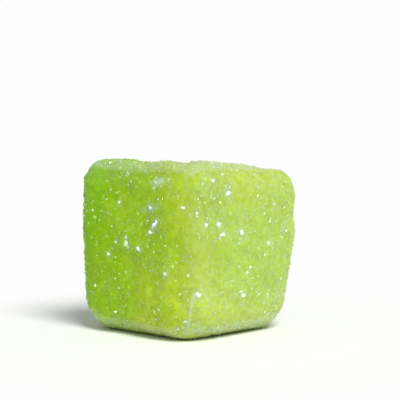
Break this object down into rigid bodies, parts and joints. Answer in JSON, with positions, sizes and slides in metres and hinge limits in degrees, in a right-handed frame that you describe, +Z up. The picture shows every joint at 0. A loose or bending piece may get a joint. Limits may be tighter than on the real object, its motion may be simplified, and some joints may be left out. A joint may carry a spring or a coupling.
{
  "type": "sour gummy cube",
  "caption": "Bite-sized cube of cloudy lime jelly with rounded edges, coated all over in fine sour sugar crystals, resting on a flat foot.",
  "frame": {"origin": "middle of the outline from above, at the level of the flat foot that the cube rests on", "axes": "+Z up from the foot to the slightly domed, sloping top; +X out of the right face and -Y out of the front face, the two faces that the picture shows, which meet at the edge nearest the viewer"},
  "size_m": [0.0176, 0.0178, 0.0178],
  "materials": {
    "lime_jelly": "cloudy translucent lime jelly under a thin, half melted crust of white sugar crystals"
  },
  "bodies": {
    "root": {"gummy_cube": "lime_jelly"}
  },
  "joints": []
}
